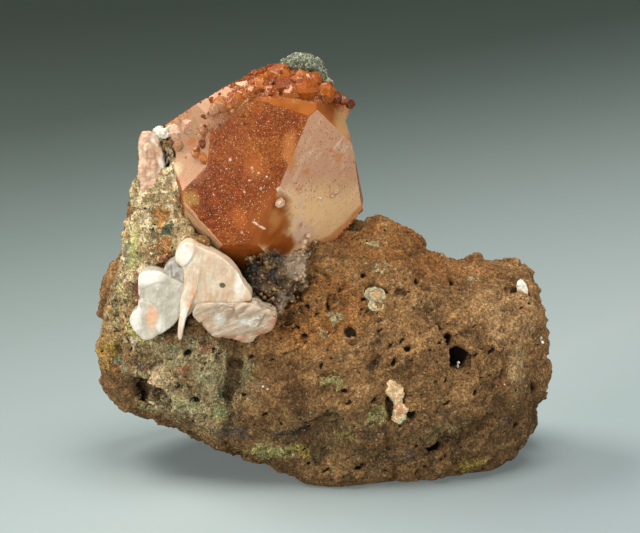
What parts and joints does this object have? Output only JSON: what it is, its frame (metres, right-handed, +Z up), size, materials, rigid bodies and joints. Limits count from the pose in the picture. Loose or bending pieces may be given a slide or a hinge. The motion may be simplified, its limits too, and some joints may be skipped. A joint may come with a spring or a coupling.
{
  "type": "analcime crystal on basalt matrix",
  "caption": "Mineral specimen: a large peach analcime crystal on vesicular basalt, with white bladed crystals and a cut-flat base.",
  "frame": {"origin": "middle of the rock's front-to-back footprint, on the flat base it rests on", "axes": "+Z up, +X to the right as seen from the crystal's front, +Y away from the front"},
  "size_m": [0.0803, 0.0472, 0.0742],
  "materials": {
    "basalt": "matte",
    "analcime": "satin",
    "white_blade": "satin",
    "cream_blade": "satin",
    "clear_blade": "gloss",
    "celadonite": "matte",
    "grey_druse": "satin",
    "pink_crystal": "satin",
    "white_crystal": "satin",
    "cream_nodule": "matte"
  },
  "bodies": {
    "root": {"basalt_matrix": "basalt", "analcime_crystal": "analcime", "white_blade_left": "white_blade", "white_blade_right": "cream_blade", "clear_blade": "clear_blade", "grey_blade": "clear_blade", "green_cap": "celadonite", "grey_druse": "grey_druse", "pink_wall_crystal": "pink_crystal", "white_knob": "white_crystal", "cream_nodule": "cream_nodule", "ring_crystal": "clear_blade", "white_chip": "white_crystal"}
  },
  "joints": []
}
